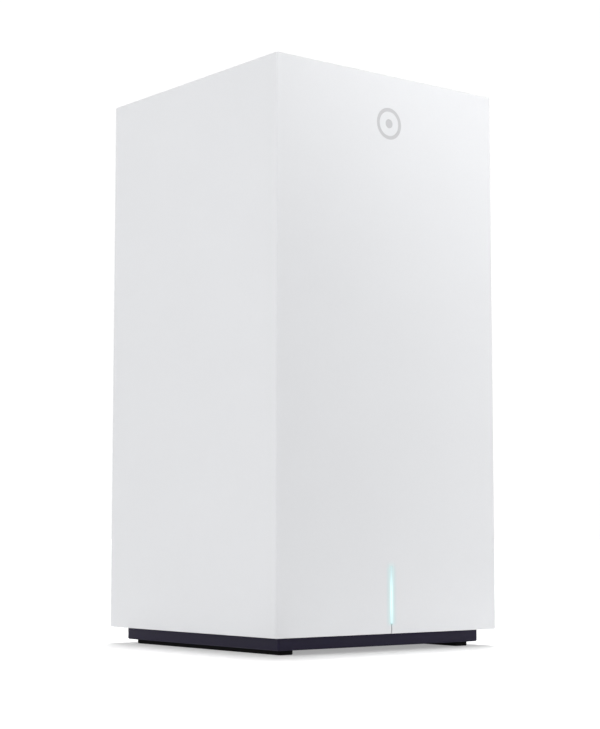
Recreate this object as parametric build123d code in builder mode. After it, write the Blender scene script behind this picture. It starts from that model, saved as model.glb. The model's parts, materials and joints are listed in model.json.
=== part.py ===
from build123d import *
from math import radians, tan
import os

os.makedirs("parts", exist_ok=True)

# A desktop tower gateway. Millimetres, +Z up, front face towards -Y, rear ports towards +Y,
# origin on the floor at the middle of the footprint.

# ---------------------------------------------------------------------------
# Driving dimensions
# ---------------------------------------------------------------------------
side = 107.0  # outside width and depth of the square sleeve
total_height = 215.0
foot_height = 1.7  # how far the rubber rails lift the base off the floor
base_band = 4.7  # height of the dark band seen between rails and sleeve
base_inset = 5.0  # base band behind the sleeve faces
rail_inset = 7.7  # rails behind the sleeve faces, at the outer side and both ends
rail_width = 6.2
wall = 2.4  # sleeve wall thickness
outer_corner = 0.8
light_start = 3.5  # lit slot above the bottom edge of the sleeve
light_length = 21.1
board_thickness = 1.6
jack_height = 13.5  # network jack above the board
window_width = 28.0  # rear port window
window_height = 108.0
window_bottom = 26.0
window_corner = 2.0
recess_depth = 7.5  # port dish floor behind the rear face
clearance = 0.2  # between fitted housing parts
button_gap = 0.2  # round every push button and the tray head

# ---------------------------------------------------------------------------
# Sizes and places worked out from them
# ---------------------------------------------------------------------------
half = side / 2
inner_half = half - wall
inner_corner = 0.3
nested_corner = 0.4  # of what fits inside the sleeve
sleeve_bottom = foot_height + base_band
sleeve_height = total_height - sleeve_bottom

# top of the sleeve: recessed cover, dust mesh and the frame that both lie on
rim_recess = 1.5
cover_thickness = 2.0
cover_bottom = total_height - rim_recess - cover_thickness
cover_half = inner_half - 0.3
cover_tab = 0.35  # how far the cover's edge tabs reach into the sleeve wall
cover_tab_width = 12.0
cover_tab_height = 1.0
tab_play = 0.3
mesh_half = 50.0
mesh_thickness = 0.6
frame_top = cover_bottom - mesh_thickness
frame_ring_thickness = 1.5
frame_ring_half = inner_half - 3.0

# base stack: tray, deck on its rim and filling the sleeve, sleeve lugs on the deck
base_half = half - base_inset
base_floor = 2.4
base_wall = 2.2
tray_top = 12.0
deck_thickness = 2.5
lower_deck_top = tray_top + deck_thickness
lug_height = 8.0
lug_width = 10.0
lug_lip = 3.4  # lug in front of its screw
screw_bite = 5.5  # base screw above the deck
base_screw_x = 33.0
base_screw_y = 44.0
base_screw_head = 2.6
base_screw_radius = 1.5
base_pillar_radius = 4.2
base_well_top = 6.3
rail_groove = 0.5
rail_outer = half - rail_inset
rail_length = 2 * rail_outer
rail_x = rail_outer - rail_width / 2

# light bar behind the front wall
front_inside = -inner_half
slit_bottom = sleeve_bottom + light_start
slit_top = slit_bottom + light_length
slit_half = 0.75
seam_half = 0.2
guide_half = 0.69
guide_back = front_inside + 4.5
holder_half = 6.0
holder_back = front_inside + 9.1
notch_bottom = sleeve_bottom + 1.2
led_board_front = front_inside + 6.3
led_board_thickness = 1.2

# upright main board, parts on its +X face level with the middle of the ports
board_face = -jack_height / 2
board_back = board_face - board_thickness
board_front_edge = -38.0
port_face = half - recess_depth - 2.1
board_rear_edge = port_face - 2.0
board_bottom = lower_deck_top + 0.1
board_top = 192.0
upper_deck_bottom = 194.0
upper_deck_top = upper_deck_bottom + deck_thickness

# rear port dish
window_middle = window_bottom + window_height / 2
dish_half = window_width / 2 - clearance
dish_tall = window_height / 2 - clearance
dish_wall = 1.5
dish_floor = half - recess_depth
dish_back = port_face + 0.3
panel_front = half - clearance
ear_reach = 9.2
boss_reach = 6.0
boss_spread = 7.0
boss_radius = 2.6
panel_screw_radius = 1.0

dc_z = 34.0
power_z = 46.0
reset_z = 53.5
wan_z = 64.5
lan_z = 83.5
usb_z = 100.5
sim_z = 115.5
wps_z = 127.0
switch_x = -2.5  # plunger line of the three switches
usb_x = board_face + 3.0
sim_x = board_face + 1.45

# antenna frames and heatsinks
frame_inner = 40.0
frame_thickness = 2.0
frame_outer = frame_inner + frame_thickness
frame_half_depth = 39.0
fin_thickness = 1.2
lead_diameter = 1.2
led_cable_diameter = 1.4


def block(x, y, z, mode=Mode.ADD):
    """A box between two x, two y and two z values, in the part that is open."""
    with Locations(((x[0] + x[1]) / 2, (y[0] + y[1]) / 2, (z[0] + z[1]) / 2)):
        Box(x[1] - x[0], y[1] - y[0], z[1] - z[0], mode=mode)


def rod_y(x, z, radius, y, mode=Mode.ADD):
    """A round rod along Y between two y values."""
    with Locations((x, (y[0] + y[1]) / 2, z)):
        Cylinder(radius, y[1] - y[0], rotation=(90, 0, 0), mode=mode)


def rod_x(y, z, radius, x, mode=Mode.ADD):
    """A round rod along X between two x values."""
    with Locations(((x[0] + x[1]) / 2, y, z)):
        Cylinder(radius, x[1] - x[0], rotation=(0, 90, 0), mode=mode)


def rod_z(x, y, radius, z, mode=Mode.ADD):
    """A round rod along Z between two z values."""
    with Locations((x, y, (z[0] + z[1]) / 2)):
        Cylinder(radius, z[1] - z[0], mode=mode)


def cross_recess(place, arm, slot, depth, axis):
    """A cross-shaped driver recess in a screw head whose axis is X, Y or Z."""
    arms = {
        "X": ((depth, arm, slot), (depth, slot, arm)),
        "Y": ((arm, depth, slot), (slot, depth, arm)),
        "Z": ((arm, slot, depth), (slot, arm, depth)),
    }
    with Locations(place):
        for size in arms[axis]:
            Box(*size, mode=Mode.SUBTRACT)


def bend_radii(points):
    """Radius at each inner point of a lead's route, as large as its two runs allow."""
    radii = []
    for before, here, after in zip(points, points[1:], points[2:]):
        run_in = Vector(here) - Vector(before)
        run_out = Vector(after) - Vector(here)
        half_turn = radians(run_in.get_angle(run_out)) / 2
        radii.append(0.45 * min(run_in.length, run_out.length) / tan(half_turn))
    return radii


def lead(points, diameter):
    """A round lead along straight runs joined by tangent arcs."""
    radii = bend_radii(points)
    print("lead bend radii", [round(radius, 1) for radius in radii])
    with BuildPart() as tube:
        with BuildLine() as route:
            FilletPolyline(*points, radius=radii)
        with BuildSketch(Plane(origin=route.line @ 0, z_dir=route.line % 0)):
            Circle(diameter / 2)
        sweep()
    return tube.part


# ---------------------------------------------------------------------------
# Housing
# ---------------------------------------------------------------------------
top_edge_radius = 0.5
bottom_edge_radius = 0.4
emblem_radius = 6.0
emblem_line = 1.3
emblem_dot = 1.7
emblem_depth = 0.2
emblem_z = sleeve_bottom + 190.0
emblem_fit = 0.04
base_screw_places = [
    (x, y)
    for x in (-base_screw_x, base_screw_x)
    for y in (-base_screw_y, base_screw_y)
]
panel_screw_places = [
    (x, z)
    for x in (-boss_spread, boss_spread)
    for z in (window_bottom - boss_reach, window_bottom + window_height + boss_reach)
]

with BuildPart() as outer_sleeve:
    with BuildSketch(Plane.XY.offset(sleeve_bottom)):
        RectangleRounded(side, side, outer_corner)
        RectangleRounded(2 * inner_half, 2 * inner_half, inner_corner, mode=Mode.SUBTRACT)
    extrude(amount=sleeve_height)
    top_loops = outer_sleeve.edges().group_by(Axis.Z)[-1]
    bottom_loops = outer_sleeve.edges().group_by(Axis.Z)[0]
    fillet(top_loops, top_edge_radius)
    fillet(bottom_loops, bottom_edge_radius)
    # lugs that take the base screws, standing on the lower deck
    for place_x, place_y in base_screw_places:
        outward = 1 if place_y > 0 else -1
        block(
            (place_x - lug_width / 2, place_x + lug_width / 2),
            sorted((outward * (base_screw_y - lug_lip), outward * (inner_half + 1))),
            (lower_deck_top, lower_deck_top + lug_height),
        )
        screw_hole = (lower_deck_top - 1, lower_deck_top + screw_bite + 0.5)
        rod_z(place_x, place_y, base_screw_radius, screw_hole, Mode.SUBTRACT)
    # shallow pockets for the edge tabs of the top cover
    with PolarLocations(inner_half, 4):
        with Locations((0, 0, cover_bottom + cover_tab_height / 2)):
            pocket = (2 * cover_tab + tab_play, cover_tab_width + tab_play, cover_tab_height + 0.1)
            Box(*pocket, mode=Mode.SUBTRACT)
    # rear port window and the bosses above and below it
    with BuildSketch(Plane.XZ.offset(-half - 1)):
        with Locations((0, window_middle)):
            RectangleRounded(window_width, window_height, window_corner)
    extrude(amount=wall + 2, mode=Mode.SUBTRACT)
    for place_x, place_z in panel_screw_places:
        rod_y(place_x, place_z, boss_radius, (dish_floor, inner_half + 1))
        rod_y(place_x, place_z, panel_screw_radius, (dish_floor - 1, inner_half), Mode.SUBTRACT)
    # slot for the light guide, and the fine seam below it
    block((-slit_half, slit_half), (-half - 1, front_inside + 1), (slit_bottom, slit_top), Mode.SUBTRACT)
    block((-seam_half, seam_half), (-half - 1, front_inside + 1), (0, slit_bottom), Mode.SUBTRACT)
    # shallow pocket for the emblem
    with BuildSketch(Plane.XZ.offset(half - emblem_depth)):
        with Locations((0, emblem_z)):
            Circle(emblem_radius + emblem_fit)
            Circle(emblem_radius - emblem_line - emblem_fit, mode=Mode.SUBTRACT)
            Circle(emblem_dot + emblem_fit)
    extrude(amount=1, mode=Mode.SUBTRACT)
outer_sleeve.part.label = "outer_sleeve"
export_step(outer_sleeve.part, "parts/outer_sleeve.step")

with BuildPart() as front_emblem:
    with BuildSketch(Plane.XZ.offset(half - emblem_depth)):
        with Locations((0, emblem_z)):
            Circle(emblem_radius)
            Circle(emblem_radius - emblem_line, mode=Mode.SUBTRACT)
            Circle(emblem_dot)
    extrude(amount=emblem_depth)
front_emblem.part.label = "front_emblem"
export_step(front_emblem.part, "parts/front_emblem.step")

with BuildPart() as cover_frame:
    with BuildSketch(Plane.XY.offset(frame_top - frame_ring_thickness)):
        RectangleRounded(2 * inner_half, 2 * inner_half, inner_corner)
        Rectangle(2 * frame_ring_half, 2 * frame_ring_half, mode=Mode.SUBTRACT)
    extrude(amount=frame_ring_thickness)
cover_frame.part.label = "cover_frame"
export_step(cover_frame.part, "parts/cover_frame.step")

vent_rows = 13
vent_pitch = 6.4
vent_width = 2.4
vent_length = 25.0
vent_columns = 3
vent_column_pitch = 28.0
cover_edge_radius = 0.4

with BuildPart() as top_cover:
    with BuildSketch(Plane.XY.offset(cover_bottom)):
        RectangleRounded(2 * cover_half, 2 * cover_half, nested_corner)
        with GridLocations(vent_column_pitch, vent_pitch, vent_columns, vent_rows):
            SlotOverall(vent_length, vent_width, mode=Mode.SUBTRACT)
    extrude(amount=cover_thickness)
    outline = top_cover.edges().group_by(Axis.Z)[-1].filter_by(GeomType.LINE).sort_by(SortBy.LENGTH)[-4:]
    fillet(outline, cover_edge_radius)
    # snap tabs low on its edges, one on each side
    with PolarLocations(cover_half, 4):
        with Locations((0, 0, cover_bottom + cover_tab_height / 2)):
            Box(2 * (inner_half + cover_tab - cover_half), cover_tab_width, cover_tab_height)
top_cover.part.label = "top_cover"
export_step(top_cover.part, "parts/top_cover.step")

mesh_cells = 16
mesh_pitch = 5.6
mesh_hole = 4.4

with BuildPart() as top_dust_mesh:
    with BuildSketch(Plane.XY.offset(frame_top)):
        Rectangle(2 * mesh_half, 2 * mesh_half)
        with GridLocations(mesh_pitch, mesh_pitch, mesh_cells, mesh_cells):
            Rectangle(mesh_hole, mesh_hole, mode=Mode.SUBTRACT)
    extrude(amount=mesh_thickness)
top_dust_mesh.part.label = "top_dust_mesh"
export_step(top_dust_mesh.part, "parts/top_dust_mesh.step")

intake_rows = 7
intake_pitch = 5.0
intake_middle = -20.0
intake_slot = (22.0, 2.0)
intake_columns = 28.0  # apart
label_width = 46.0
label_depth = 24.0
label_middle = 25.0
label_recess = 0.3
label_thickness = 0.25
label_corner = 1.3
band_chamfer = 0.4
rail_corner = 1.0
groove_corner = rail_corner + clearance / 2

with BuildPart() as base_plate:
    # tray whose lower part is the band below the sleeve
    with BuildSketch(Plane.XY.offset(foot_height)):
        RectangleRounded(2 * base_half, 2 * base_half, outer_corner)
    extrude(amount=tray_top - foot_height)
    chamfer(base_plate.edges().group_by(Axis.Z)[0], band_chamfer)
    with BuildSketch(Plane.XY.offset(foot_height + base_floor)):
        RectangleRounded(2 * (base_half - base_wall), 2 * (base_half - base_wall), inner_corner)
    extrude(amount=tray_top, mode=Mode.SUBTRACT)
    # notch in the front wall for the light guide holder
    block(
        (-holder_half - 1, holder_half + 1),
        (-base_half - 1, -base_half + base_wall + 1),
        (notch_bottom, tray_top + 1),
        Mode.SUBTRACT,
    )
    # screw pillars, counterbored from below
    for place_x, place_y in base_screw_places:
        rod_z(place_x, place_y, base_pillar_radius, (foot_height + base_floor, tray_top))
    with Locations(*[Location((x, y, foot_height), (180, 0, 0)) for x, y in base_screw_places]):
        CounterBoreHole(base_screw_radius + 0.1, base_screw_head + 0.3, base_well_top - foot_height)
    # grooves for the rails
    for rail_side in (-1, 1):
        with BuildSketch(Plane.XY.offset(foot_height)):
            with Locations((rail_side * rail_x, 0)):
                RectangleRounded(rail_width + clearance, rail_length + clearance, groove_corner)
        extrude(amount=rail_groove, mode=Mode.SUBTRACT)
    # air intake and label recess
    with BuildSketch(Plane.XY.offset(foot_height)):
        with Locations((0, intake_middle)):
            with GridLocations(intake_columns, intake_pitch, 2, intake_rows):
                SlotOverall(*intake_slot)
    extrude(amount=base_floor, mode=Mode.SUBTRACT)
    with BuildSketch(Plane.XY.offset(foot_height)):
        with Locations((0, label_middle)):
            RectangleRounded(label_width + 0.4, label_depth + 0.4, label_corner + 0.2)
    extrude(amount=label_recess, mode=Mode.SUBTRACT)
base_plate.part.label = "base_plate"
export_step(base_plate.part, "parts/base_plate.step")

for rail_name, rail_side in (("left_foot_rail", -1), ("right_foot_rail", 1)):
    with BuildPart() as foot_rail:
        with BuildSketch():
            with Locations((rail_side * rail_x, 0)):
                RectangleRounded(rail_width, rail_length, rail_corner)
        extrude(amount=foot_height + rail_groove)
        fillet(foot_rail.edges().group_by(Axis.Z)[0], 0.4)
    foot_rail.part.label = rail_name
    export_step(foot_rail.part, f"parts/{rail_name}.step")

with BuildPart() as base_screws:
    for place_x, place_y in base_screw_places:
        rod_z(place_x, place_y, base_screw_radius, (base_well_top, lower_deck_top + screw_bite))
        rod_z(place_x, place_y, base_screw_head, (base_well_top - 2, base_well_top))
        cross_recess((place_x, place_y, base_well_top - 1.6), 3.4, 0.7, 0.9, "Z")
base_screws.part.label = "base_screws"
export_step(base_screws.part, "parts/base_screws.step")

with BuildPart() as rating_label:
    with BuildSketch(Plane.XY.offset(foot_height + label_recess - label_thickness)):
        with Locations((0, label_middle)):
            RectangleRounded(label_width, label_depth, label_corner)
    extrude(amount=label_thickness)
rating_label.part.label = "rating_label"
export_step(rating_label.part, "parts/rating_label.step")

# ---------------------------------------------------------------------------
# Light bar
# ---------------------------------------------------------------------------
guide_gap = 0.08
collector_half = 2.0

with BuildPart() as light_guide:
    with BuildSketch(Plane.XY.offset(slit_bottom + guide_gap)):
        with BuildLine():
            Polyline(
                (-guide_half, -half),
                (guide_half, -half),
                (guide_half, front_inside + 0.4),
                (collector_half, guide_back - 0.9),
                (collector_half, guide_back),
                (-collector_half, guide_back),
                (-collector_half, guide_back - 0.9),
                (-guide_half, front_inside + 0.4),
                close=True,
            )
        make_face()
    extrude(amount=light_length - 2 * guide_gap)
light_guide.part.label = "light_guide"
export_step(light_guide.part, "parts/light_guide.step")

holder_bottom = slit_bottom - 1.4
holder_top = slit_top + 3

with BuildPart() as light_guide_holder:
    block((-holder_half, holder_half), (front_inside, holder_back), (holder_bottom, holder_top))
    block(
        (-collector_half - 0.2, collector_half + 0.2),
        (front_inside - 1, led_board_front),
        (slit_bottom - 0.1, slit_top + 0.1),
        Mode.SUBTRACT,
    )
    block(
        (-holder_half + 1.2, holder_half - 1.2),
        (guide_back + 0.3, holder_back + 1),
        (slit_bottom - 0.1, slit_top + 1.6),
        Mode.SUBTRACT,
    )
    # lips that keep the light board in
    for lip_side in (-1, 1):
        with Locations((lip_side * (holder_half - 1.4), holder_back - 0.4, slit_bottom + 4)):
            Box(1.2, 0.8, 3)
light_guide_holder.part.label = "light_guide_holder"
export_step(light_guide_holder.part, "parts/light_guide_holder.step")

led_board_back = led_board_front + led_board_thickness
led_places = [slit_bottom + light_length * share for share in (1 / 6, 1 / 2, 5 / 6)]

with BuildPart() as led_board:
    block(
        (-holder_half + 1.4, holder_half - 1.4),
        (led_board_front, led_board_back),
        (slit_bottom + 0.1, slit_top + 1.3),
    )
led_board.part.label = "led_board"
export_step(led_board.part, "parts/led_board.step")

with BuildPart() as status_leds:
    for led_z in led_places:
        with Locations((0, led_board_front - 0.35, led_z)):
            Box(3.2, 0.7, 2.8)
        rod_y(0, led_z, 1.1, (led_board_front - 1.1, led_board_front - 0.7))
status_leds.part.label = "status_leds"
export_step(status_leds.part, "parts/status_leds.step")

cable_socket_y = (-27.0, -20.0)
cable_z = 30.0
cable_x = board_face + 1.85

led_cable = lead(
    [
        (1.5, led_board_back, cable_z - 1),
        (1.5, led_board_back + 6.6, cable_z - 1),
        (cable_x, cable_socket_y[0] - 7, cable_z),
        (cable_x, cable_socket_y[0], cable_z),
    ],
    led_cable_diameter,
)
led_cable.label = "led_cable"
export_step(led_cable, "parts/led_cable.step")

# ---------------------------------------------------------------------------
# Chassis: two decks and two antenna frames
# ---------------------------------------------------------------------------
guide_fit = 0.1
guide_rib = 1.6
guide_spans = [(-34.0, -22.0), (12.0, 24.0)]
frame_screw_x = 36.5
frame_screw_y = 22.0
frame_screw_places = [
    (x, y)
    for x in (-frame_screw_x, frame_screw_x)
    for y in (-frame_screw_y, frame_screw_y)
]
frame_screw_radius = 1.25
frame_screw_head = 2.2
frame_tab = 2.5
upper_tab = 7.0
deck_boss = 3.5
vent_places = [(x, y) for x in (-24.0, 12.0) for y in [-31.5 + 9.0 * row for row in range(8)]]


def guide_ribs(z):
    """Two pairs of ribs that hold an edge of the upright board."""
    for span in guide_spans:
        block((board_back - guide_fit - guide_rib, board_back - guide_fit), span, z)
        block((board_face + guide_fit, board_face + guide_fit + guide_rib), span, z)


with BuildPart() as lower_deck:
    with BuildSketch(Plane.XY.offset(tray_top)):
        RectangleRounded(2 * cover_half, 2 * cover_half, nested_corner)
        with Locations(*vent_places):
            SlotOverall(22, 5, mode=Mode.SUBTRACT)
        with Locations((0, -cover_half)):
            Rectangle(2 * holder_half + 2, 2 * (cover_half + holder_back + 0.6), mode=Mode.SUBTRACT)
        with Locations(*base_screw_places):
            Circle(base_screw_radius + 0.2, mode=Mode.SUBTRACT)
    extrude(amount=deck_thickness)
    guide_ribs((lower_deck_top, lower_deck_top + 4.5))
    for place_x, place_y in frame_screw_places:
        rod_z(place_x, place_y, 2.6, (tray_top - deck_boss, tray_top))
        boss_hole = (tray_top - deck_boss - 1, lower_deck_top + 1)
        rod_z(place_x, place_y, frame_screw_radius, boss_hole, Mode.SUBTRACT)
lower_deck.part.label = "lower_deck"
export_step(lower_deck.part, "parts/lower_deck.step")

upper_deck_x = 48.0
upper_deck_y = 40.0
aerial_length = 32.0
aerial_height = 9.5
aerial_thickness = 0.8
aerial_seat = 1.0
aerial_x = upper_deck_x - 2
aerial_y = upper_deck_y - 2
aerial_z = upper_deck_top - aerial_seat + aerial_height / 2

with BuildPart() as upper_deck:
    with BuildSketch(Plane.XY.offset(upper_deck_bottom)):
        RectangleRounded(2 * upper_deck_x, 2 * upper_deck_y, 3)
        with Locations(*vent_places):
            SlotOverall(22, 5, mode=Mode.SUBTRACT)
        with Locations(*frame_screw_places):
            Circle(frame_screw_radius + 0.1, mode=Mode.SUBTRACT)
    extrude(amount=deck_thickness)
    guide_ribs((board_top - 4, upper_deck_bottom))
    for aerial_side in (-1, 1):
        with Locations((aerial_side * aerial_x, 0, aerial_z)):
            Box(aerial_thickness + 0.1, aerial_length + 0.2, aerial_height, mode=Mode.SUBTRACT)
        with Locations((0, aerial_side * aerial_y, aerial_z)):
            Box(aerial_length + 0.2, aerial_thickness + 0.1, aerial_height, mode=Mode.SUBTRACT)
upper_deck.part.label = "upper_deck"
export_step(upper_deck.part, "parts/upper_deck.step")

window_spans = [(26.0, 76.0), (84.0, 134.0), (142.0, 184.0)]
window_half_depth = 30.0
tab_spans = [
    (lower_deck_top, lower_deck_top + frame_tab),
    (upper_deck_bottom - upper_tab, upper_deck_bottom),
]

for frame_name, frame_side in (("left_frame", -1), ("right_frame", 1)):
    with BuildPart() as antenna_frame:
        plate = sorted((frame_side * frame_inner, frame_side * frame_outer))
        tab = sorted((frame_side * (frame_inner - 6.5), frame_side * frame_inner))
        block(plate, (-frame_half_depth, frame_half_depth), (lower_deck_top, upper_deck_bottom))
        for span in window_spans:
            block(plate, (-window_half_depth, window_half_depth), span, Mode.SUBTRACT)
        for tab_y in (-frame_screw_y, frame_screw_y):
            for tab_z in tab_spans:
                block(tab, (tab_y - 4, tab_y + 4), tab_z)
                rod_z(
                    frame_side * frame_screw_x,
                    tab_y,
                    frame_screw_radius,
                    (tab_z[0] - 1, tab_z[1] + 1),
                    Mode.SUBTRACT,
                )
    antenna_frame.part.label = frame_name
    export_step(antenna_frame.part, f"parts/{frame_name}.step")

with BuildPart() as frame_screws:
    for place_x, place_y in frame_screw_places:
        for seat_z in (lower_deck_top + frame_tab, upper_deck_top):
            rod_z(place_x, place_y, frame_screw_radius, (seat_z - 7.5, seat_z))
            rod_z(place_x, place_y, frame_screw_head, (seat_z, seat_z + 1.6))
            cross_recess((place_x, place_y, seat_z + 1.3), 2.8, 0.6, 0.8, "Z")
frame_screws.part.label = "frame_screws"
export_step(frame_screws.part, "parts/frame_screws.step")

# ---------------------------------------------------------------------------
# Main board and what stands on it
# ---------------------------------------------------------------------------
heatsink_screw_y = (-30.35, 18.35)
heatsink_screw_z = (48.0, 120.0)
heatsink_screw_places = [(y, z) for y in heatsink_screw_y for z in heatsink_screw_z]
heatsink_screw_radius = 1.25
modem_screw_y = -5.0
modem_screw_z = 186.0

with BuildPart() as main_board:
    block((board_back, board_face), (board_front_edge, board_rear_edge), (board_bottom, board_top))
    through_board = (board_back - 1, board_face + 1)
    for place_y, place_z in heatsink_screw_places:
        rod_x(place_y, place_z, heatsink_screw_radius + 0.25, through_board, Mode.SUBTRACT)
    rod_x(modem_screw_y, modem_screw_z, 1.5, through_board, Mode.SUBTRACT)
main_board.part.label = "main_board"
export_step(main_board.part, "parts/main_board.step")

shield_height = 2.5
shield_y = (-26.0, 14.0)
pad_y = (-20.0, 8.0)
chip_height = 1.3

with BuildPart() as processor_chips:
    # middle y, middle z, size y, size z
    for chip_y, chip_z, chip_wide, chip_tall in (
        (-10, 65, 22, 22),
        (7, 58, 9, 13),
        (7, 73, 9, 13),
        (-15, 106, 12, 12),
        (3, 106, 12, 12),
        (18, 142, 12, 12),
    ):
        with Locations((board_face + chip_height / 2, chip_y, chip_z)):
            Box(chip_height, chip_wide, chip_tall)
processor_chips.part.label = "processor_chips"
export_step(processor_chips.part, "parts/processor_chips.step")

for shield_name, shield_z in (("processor_shield", (46.0, 84.0)), ("wifi_shield", (90.0, 122.0))):
    with BuildPart() as shield_can:
        block((board_face, board_face + shield_height), shield_y, shield_z)
        block(
            (board_face - 1, board_face + shield_height - 0.3),
            (shield_y[0] + 0.3, shield_y[1] - 0.3),
            (shield_z[0] + 0.3, shield_z[1] - 0.3),
            Mode.SUBTRACT,
        )
    shield_can.part.label = shield_name
    export_step(shield_can.part, f"parts/{shield_name}.step")

pad_thickness = 1.0
right_base_face = board_face + shield_height + pad_thickness
left_base_face = board_back - pad_thickness

with BuildPart() as thermal_pads:
    block((board_face + shield_height, right_base_face), pad_y, (50, 80))
    block((board_face + shield_height, right_base_face), pad_y, (94, 118))
    block((left_base_face, board_back), pad_y, (52, 112))
thermal_pads.part.label = "thermal_pads"
export_step(thermal_pads.part, "parts/thermal_pads.step")

heatsink_y = (-34.0, 22.0)
fin_count = 10
fin_step = (heatsink_y[1] - heatsink_y[0] - fin_thickness) / (fin_count - 1)
right_base = 3.5
left_base = 3.0


def heatsink_fins(x, z):
    """Upright fins across the depth of a heatsink."""
    for fin in range(fin_count):
        fin_y = heatsink_y[0] + fin * fin_step
        block(x, (fin_y, fin_y + fin_thickness), z)


with BuildPart() as right_heatsink:
    block((right_base_face, right_base_face + right_base), heatsink_y, (40, 128))
    heatsink_fins((right_base_face + right_base - 0.5, 30), (40, 128))
    for place_y, place_z in heatsink_screw_places:
        rod_x(
            place_y,
            place_z,
            heatsink_screw_radius + 0.2,
            (right_base_face - 1, right_base_face + right_base + 1),
            Mode.SUBTRACT,
        )
right_heatsink.part.label = "right_heatsink"
export_step(right_heatsink.part, "parts/right_heatsink.step")

with BuildPart() as left_heatsink:
    block((left_base_face - left_base, left_base_face), heatsink_y, (40, 180))
    heatsink_fins((-34, left_base_face - left_base + 0.5), (40, 180))
    for place_y, place_z in heatsink_screw_places:
        rod_x(
            place_y,
            place_z,
            heatsink_screw_radius,
            (left_base_face - left_base + 0.4, left_base_face + 1),
            Mode.SUBTRACT,
        )
left_heatsink.part.label = "left_heatsink"
export_step(left_heatsink.part, "parts/left_heatsink.step")

with BuildPart() as heatsink_screws:
    screw_seat = right_base_face + right_base
    for place_y, place_z in heatsink_screw_places:
        rod_x(place_y, place_z, heatsink_screw_radius, (left_base_face - left_base + 0.6, screw_seat))
        rod_x(place_y, place_z, 2.2, (screw_seat, screw_seat + 1.6))
        cross_recess((screw_seat + 1.3, place_y, place_z), 2.8, 0.6, 0.8, "X")
heatsink_screws.part.label = "heatsink_screws"
export_step(heatsink_screws.part, "parts/heatsink_screws.step")

with BuildPart() as board_capacitors:
    for place_y in (-12, -2, 8, 18):
        rod_x(place_y, 29, 4, (board_face, board_face + 10))
        rod_x(place_y, 29, 3.6, (board_face + 9.7, board_face + 11), Mode.SUBTRACT)
board_capacitors.part.label = "board_capacitors"
export_step(board_capacitors.part, "parts/board_capacitors.step")

with BuildPart() as board_inductors:
    for place_y in (-8, 4, 16):
        block((board_back - 4, board_back), (place_y - 3.5, place_y + 3.5), (24.5, 31.5))
board_inductors.part.label = "board_inductors"
export_step(board_inductors.part, "parts/board_inductors.step")

# plug-in modem with its socket, screen and screw
modem_back = board_face + 2.75
modem_face = modem_back + 0.8
modem_y = (-20.0, 10.0)
modem_bottom = 134.0
modem_tongue_top = 138.0

with BuildPart() as modem_board:
    block((modem_back, modem_face), modem_y, (modem_tongue_top, modem_screw_z))
    block((modem_back, modem_face), (-14.9, 4.9), (modem_bottom, modem_tongue_top))
    rod_x(modem_screw_y, modem_screw_z, 1.6, (modem_back - 1, modem_face + 1), Mode.SUBTRACT)
modem_board.part.label = "modem_board"
export_step(modem_board.part, "parts/modem_board.step")

with BuildPart() as modem_shield:
    block((modem_face, modem_face + 1.6), (-18, 8), (142, 178))
modem_shield.part.label = "modem_shield"
export_step(modem_shield.part, "parts/modem_shield.step")

with BuildPart() as modem_socket:
    block((board_face, modem_face + 1), (-16, 6), (129.5, 137.5))
    block((modem_back - 0.05, modem_face + 0.05), (-15, 5), (133.9, 138), Mode.SUBTRACT)
modem_socket.part.label = "modem_socket"
export_step(modem_socket.part, "parts/modem_socket.step")

with BuildPart() as modem_screw:
    rod_x(modem_screw_y, modem_screw_z, 1.45, (board_back, modem_face + 0.5))
    rod_x(modem_screw_y, modem_screw_z, 2.7, (modem_face, modem_face + 1.2))
modem_screw.part.label = "modem_screw"
export_step(modem_screw.part, "parts/modem_screw.step")

# small sockets: light cable, four modem aerials, four Wi-Fi aerials
coax_socket_radius = 1.4
coax_socket_height = 1.2
modem_coax_y = (-16.0, -11.0, 1.0, 6.0)
modem_coax_z = 182.0
wifi_coax_y = (16.0, 21.0, 26.0, 31.0)
wifi_coax_z = 184.0

with BuildPart() as board_sockets:
    block((board_face, board_face + 3.5), cable_socket_y, (cable_z - 3.5, cable_z + 3.5))
    for place_y in modem_coax_y:
        rod_x(place_y, modem_coax_z, coax_socket_radius, (modem_face, modem_face + coax_socket_height))
    for place_y in wifi_coax_y:
        rod_x(place_y, wifi_coax_z, coax_socket_radius, (board_face, board_face + coax_socket_height))
board_sockets.part.label = "board_sockets"
export_step(board_sockets.part, "parts/board_sockets.step")

# ---------------------------------------------------------------------------
# Antennas and their leads
# ---------------------------------------------------------------------------
with BuildPart() as cellular_antennas:
    for antenna_side in (-1, 1):
        for antenna_z in (51.0, 163.0):
            with Locations((antenna_side * (frame_outer + 0.4), 0, antenna_z)):
                Box(0.8, 66, 56)
cellular_antennas.part.label = "cellular_antennas"
export_step(cellular_antennas.part, "parts/cellular_antennas.step")

with BuildPart() as wifi_antennas:
    for aerial_side in (-1, 1):
        with Locations((aerial_side * aerial_x, 0, aerial_z)):
            Box(aerial_thickness, aerial_length, aerial_height)
        with Locations((0, aerial_side * aerial_y, aerial_z)):
            Box(aerial_length, aerial_thickness, aerial_height)
wifi_antennas.part.label = "wifi_antennas"
export_step(wifi_antennas.part, "parts/wifi_antennas.step")

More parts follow.
